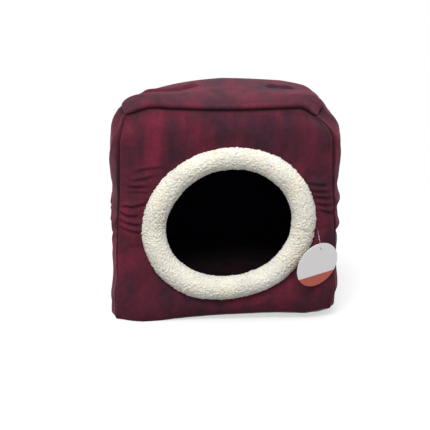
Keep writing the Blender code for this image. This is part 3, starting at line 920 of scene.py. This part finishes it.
def suede_finish():
    """Mottled burgundy cloth with a short brushed nap, and painted shade along its seams."""
    finish, tree, shader = new_finish(
        "burgundy_suede",
        Roughness=0.88,
        Sheen_Weight=0.17,
        Sheen_Roughness=0.45,
        Sheen_Tint=(0.95, 0.40, 0.50, 1.0),
        Specular_IOR_Level=0.08,
    )
    place = add_node(tree, "ShaderNodeTexCoord").outputs["Object"]
    cloth = add_node(tree, "ShaderNodeAttribute", attribute_name="cloth").outputs["Vector"]
    banded = add_node(
        tree, "ShaderNodeMapping", (("Vector", cloth), ("Scale", (27.0, 8.0, 3.0)))
    ).outputs["Vector"]
    bands = noise_node(tree, banded, 1.0, 2.0, 0.5, 0.3)
    patches = noise_node(tree, place, 11.0, 3.0, 0.55, 0.4)
    mottle = math_node(
        tree, "MULTIPLY_ADD", bands, 0.42, math_node(tree, "MULTIPLY_ADD", patches, 0.38, 0.09)
    )
    shaped = add_node(
        tree, "ShaderNodeVectorMath", ((0, place), (1, PATCH_SHAPE)), operation="MULTIPLY"
    ).outputs["Vector"]
    for middle, reach, shift in PATCHES:
        middle = tuple(a * b for a, b in zip(middle, PATCH_SHAPE))
        away = add_node(
            tree, "ShaderNodeVectorMath", ((0, shaped), (1, middle)), operation="DISTANCE"
        ).outputs["Value"]
        mottle = math_node(
            tree, "ADD", mottle, fade_node(tree, away, 0.0, reach, shift, 0.0)
        )
    brushed = add_node(
        tree, "ShaderNodeMapping", (("Vector", cloth), ("Scale", (1.0, 0.45, 1.0)))
    ).outputs["Vector"]
    for scale, strength in ((400.0, 0.27), (130.0, 0.15)):
        heather = noise_node(tree, brushed, scale, 3.0, 0.65)
        heather = math_node(tree, "SUBTRACT", heather, 0.5)
        mottle = math_node(tree, "MULTIPLY_ADD", heather, strength, mottle)
    colour = ramp_node(
        tree,
        mottle,
        (
            (0.38, (0.036, 0.0145, 0.024)),
            (0.46, (0.062, 0.0150, 0.026)),
            (0.54, (0.096, 0.0155, 0.029)),
            (0.66, (0.170, 0.0190, 0.040)),
        ),
    )
    # Painted shade: the cloth darkens to 0.35 of its colour at the seams, where the pad's fullness
    # falls to 0, standing in for the shade in the seams' grooves
    full = add_node(tree, "ShaderNodeAttribute", attribute_name="full").outputs["Fac"]
    painted_seam_shade = ramp_node(tree, full, ((0.05, (0.35, 0.35, 0.35)), (0.50, (1.0, 1.0, 1.0))))
    colour = blend_colour(tree, "MULTIPLY", 1.0, colour, painted_seam_shade)
    tree.links.new(colour, shader.inputs["Base Color"])
    nap = noise_node(tree, place, 1500.0, 2.0, 0.6)
    ripple = noise_node(tree, place, 260.0, 2.0, 0.5)
    normal = bump_node(tree, ripple, 0.0005, 0.5)
    normal = bump_node(tree, nap, 0.0003, 0.5, normal)
    tree.links.new(normal, shader.inputs["Normal"])
    return finish


def shaded_cushion_finish():
    """Dark wine-red plush of the loose cushion, darkened almost to black as painted shade for the
    cabin's shadow.
    """
    finish, tree, shader = new_finish(
        "cushion_painted_shade", Roughness=0.95, Sheen_Weight=0.02, Specular_IOR_Level=0.05
    )
    place = add_node(tree, "ShaderNodeTexCoord").outputs["Object"]
    patches = noise_node(tree, place, 20.0, 3.0, 0.6, 0.6)
    # Painted shade: the cushion's colours are kept near black, standing in for the shadow inside
    # the cabin
    colour = ramp_node(
        tree, patches, ((0.35, (0.004, 0.0020, 0.0042)), (0.65, (0.011, 0.0030, 0.0060)))
    )
    tree.links.new(colour, shader.inputs["Base Color"])
    pile = noise_node(tree, place, 800.0, 3.0, 0.6)
    tree.links.new(bump_node(tree, pile, 0.0006, 0.6), shader.inputs["Normal"])
    return finish


def fleece_finish():
    """Cream fleece, with painted shade that makes it warmer and darker between its curls."""
    finish, tree, shader = new_finish(
        "cream_fleece",
        Roughness=0.95,
        Sheen_Weight=0.25,
        Sheen_Roughness=0.6,
        Specular_IOR_Level=0.1,
        Subsurface_Weight=0.6,
        Subsurface_Radius=(0.0030, 0.0025, 0.0018),
        Subsurface_Scale=1.0,
    )
    place = add_node(tree, "ShaderNodeTexCoord").outputs["Object"]
    curl = add_node(tree, "ShaderNodeAttribute", attribute_name="curl").outputs["Fac"]
    # Painted shade: the lower a point lies between the curls, the darker and warmer its colour
    spread = math_node(tree, "MULTIPLY_ADD", curl, 0.8, 0.6)
    colour = ramp_node(
        tree,
        spread,
        ((0.10, (0.46, 0.42, 0.33)), (0.50, (0.74, 0.71, 0.62)), (0.90, (0.85, 0.83, 0.76))),
    )
    soiling = noise_node(tree, place, 30.0, 3.0)
    tint = ramp_node(tree, soiling, ((0.35, (0.93, 0.94, 0.97)), (0.65, (1.0, 0.985, 0.95))))
    colour = blend_colour(tree, "MULTIPLY", 1.0, colour, tint)
    tree.links.new(colour, shader.inputs["Base Color"])
    fibres = noise_node(tree, place, 1100.0, 3.0, 0.7)
    tree.links.new(bump_node(tree, fibres, 0.0006, 0.6), shader.inputs["Normal"])
    return finish


def plush_finish():
    """Near-black plush with a short pile."""
    finish, tree, shader = new_finish(
        "dark_lining",
        Roughness=0.97,
        Sheen_Weight=0.04,
        Sheen_Roughness=0.5,
        Sheen_Tint=(0.5, 0.5, 0.9, 1.0),
        Specular_IOR_Level=0.1,
    )
    place = add_node(tree, "ShaderNodeTexCoord").outputs["Object"]
    brushed = noise_node(tree, place, 24.0, 3.0, 0.6, 1.0)
    colour = ramp_node(
        tree, brushed, ((0.35, (0.0075, 0.0085, 0.0180)), (0.65, (0.0150, 0.0150, 0.0320)))
    )
    tree.links.new(colour, shader.inputs["Base Color"])
    pile = noise_node(tree, place, 700.0, 3.0, 0.6)
    tree.links.new(bump_node(tree, pile, 0.0008, 0.7), shader.inputs["Normal"])
    return finish


def grey_finish():
    """Grey base cloth with a plain weave."""
    finish, tree, shader = new_finish("grey_underside", Roughness=0.85, Specular_IOR_Level=0.2)
    place = add_node(tree, "ShaderNodeTexCoord").outputs["Object"]
    cloth = add_node(tree, "ShaderNodeAttribute", attribute_name="cloth").outputs["Vector"]
    wefts = []
    for direction in ("X", "Y"):
        sockets = (("Vector", cloth), ("Scale", 220.0), ("Distortion", 0.4), ("Detail", 1.0))
        wave = add_node(tree, "ShaderNodeTexWave", sockets, bands_direction=direction)
        wefts.append(wave.outputs["Fac"])
    weave = math_node(tree, "MULTIPLY", *wefts)
    wear = noise_node(tree, place, 40.0, 3.0)
    shade = math_node(tree, "MULTIPLY_ADD", weave, 0.35, math_node(tree, "MULTIPLY", wear, 0.6))
    colour = ramp_node(tree, shade, ((0.15, (0.20, 0.19, 0.18)), (0.60, (0.36, 0.35, 0.33))))
    tree.links.new(colour, shader.inputs["Base Color"])
    tree.links.new(bump_node(tree, weave, 0.0004, 0.6), shader.inputs["Normal"])
    return finish


def card_finish():
    """Coated card, printed orange-red below a slanting line and bare above it."""
    finish, tree, shader = new_finish(
        "tag_card", Roughness=0.42, Coat_Weight=0.15, Coat_Roughness=0.35
    )
    place = add_node(tree, "ShaderNodeTexCoord").outputs["Object"]
    above = add_node(
        tree,
        "ShaderNodeVectorMath",
        ((0, place), (1, tuple(CARD_LINE_UP))),
        operation="DOT_PRODUCT",
    ).outputs["Value"]
    printed = math_node(tree, "LESS_THAN", above, CARD_LINE_UP.dot(CARD_LINE_POINT))
    grain = noise_node(tree, place, 900.0, 3.0, 0.6)
    bare = ramp_node(tree, grain, ((0.3, (0.90, 0.88, 0.89)), (0.7, (0.94, 0.92, 0.93))))
    ink = ramp_node(tree, grain, ((0.3, (0.44, 0.062, 0.032)), (0.7, (0.52, 0.080, 0.040))))
    colour = blend_colour(tree, "MIX", printed, bare, ink)
    tree.links.new(colour, shader.inputs["Base Color"])
    tree.links.new(bump_node(tree, grain, 0.0001, 0.3), shader.inputs["Normal"])
    return finish


def nylon_finish():
    """Clear nylon filament, slightly cloudy."""
    finish, tree, shader = new_finish(
        "clear_nylon", Roughness=0.15, Transmission_Weight=0.95, IOR=1.4
    )
    place = add_node(tree, "ShaderNodeTexCoord").outputs["Object"]
    cloud = noise_node(tree, place, 500.0, 2.0)
    colour = ramp_node(tree, cloud, ((0.3, (0.55, 0.54, 0.56)), (0.7, (0.68, 0.67, 0.69))))
    tree.links.new(colour, shader.inputs["Base Color"])
    return finish


def refinish(name, finish):
    """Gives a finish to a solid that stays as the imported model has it."""
    node = frame["nodes"][name]
    node.data.materials.clear()
    node.data.materials.append(finish)


def camera():
    """The camera that the house is seen with."""
    lens = bpy.data.cameras.new("camera")
    lens.lens = CAMERA_LENS
    lens.sensor_width = 36.0
    eye = bpy.data.objects.new("camera", lens)
    eye.location = CAMERA_PLACE
    eye.rotation_euler = CAMERA_TURN
    bpy.context.scene.collection.objects.link(eye)
    bpy.context.scene.camera = eye


def lamp(name, place, target, size, power, colour=(1.0, 1.0, 1.0)):
    """A round lamp that faces a target."""
    light = bpy.data.lights.new(name, "AREA")
    light.shape = "DISK"
    light.size = size
    light.energy = power
    light.color = colour
    holder = bpy.data.objects.new(name, light)
    holder.location = place
    direction = Vector(target) - Vector(place)
    holder.rotation_euler = direction.to_track_quat("-Z", "Y").to_euler()
    bpy.context.scene.collection.objects.link(holder)


def seen_ray(tree):
    """1 for rays that see the surroundings as they are, and 0 for the light that they give."""
    path = add_node(tree, "ShaderNodeLightPath")
    seen = math_node(
        tree, "MAXIMUM", path.outputs["Is Camera Ray"], path.outputs["Is Glossy Ray"]
    )
    return math_node(tree, "MAXIMUM", seen, path.outputs["Is Transmission Ray"])


def surroundings():
    """A white background with even light from all round."""
    world = bpy.data.worlds.new("studio")
    world.use_nodes = True
    tree = world.node_tree
    background = tree.nodes["Background"]
    shown = blend_colour(tree, "MIX", seen_ray(tree), AMBIENT, WHITE)
    tree.links.new(shown, background.inputs["Color"])
    bpy.context.scene.world = world


def floor():
    """A pale floor that shows white, with the house's shadow on it."""
    bm = bmesh.new()
    bmesh.ops.create_grid(bm, x_segments=1, y_segments=1, size=FLOOR_HALF)
    mesh = bpy.data.meshes.new("floor")
    bm.to_mesh(mesh)
    bm.free()
    finish = bpy.data.materials.new("floor")
    finish.use_nodes = True
    tree = finish.node_tree
    tree.nodes.clear()
    seen = seen_ray(tree)
    place = add_node(tree, "ShaderNodeTexCoord").outputs["Object"]
    away = add_node(
        tree, "ShaderNodeVectorMath", ((0, place),), operation="LENGTH"
    ).outputs["Value"]
    far = fade_node(tree, away, FADE_START, FADE_END, 0.0, 1.0)
    shade = blend_colour(tree, "MIX", seen, FLOOR_SHADE, SEEN_FLOOR_SHADE)
    matte = add_node(tree, "ShaderNodeBsdfDiffuse", (("Color", shade),))
    glow = add_node(
        tree,
        "ShaderNodeEmission",
        (("Strength", math_node(tree, "MULTIPLY", seen, FLOOR_GLOW)),),
    )
    near = add_node(tree, "ShaderNodeAddShader", ((0, matte.outputs[0]), (1, glow.outputs[0])))
    white = add_node(tree, "ShaderNodeEmission", (("Strength", 1.0),))
    faded = add_node(
        tree,
        "ShaderNodeMixShader",
        (
            (0, math_node(tree, "MULTIPLY", seen, far)),
            (1, near.outputs[0]),
            (2, white.outputs[0]),
        ),
    )
    add_node(tree, "ShaderNodeOutputMaterial", (("Surface", faded.outputs[0]),))
    mesh.materials.append(finish)
    ground = bpy.data.objects.new("floor", mesh)
    bpy.context.scene.collection.objects.link(ground)


def main():
    """Sets the house up with its finishes, its lamps and the camera."""
    bpy.context.scene.view_settings.view_transform = "Standard"
    camera()
    surroundings()
    floor()
    lamp("front", (-0.45, -1.9, 2.3), (0, 0, 0.2), 1.5, 62.0, (1.0, 0.985, 0.96))
    lamp("overhead", (0.0, 0.0, 2.4), (0, 0, 0.3), 1.4, 20.0)
    suede = suede_finish()
    wrinkles = swollen_wrinkles([*PADS.values(), CUSHION])
    cover_panels(wrinkles, suede, grey_finish())
    plush_linings(plush_finish())
    fleece_roll(fleece_finish())
    floor_cushion(wrinkles, shaded_cushion_finish())
    nylon = nylon_finish()
    filament_root(nylon)
    refinish("tag_card", card_finish())
    refinish("tag_fastener", nylon)


main()
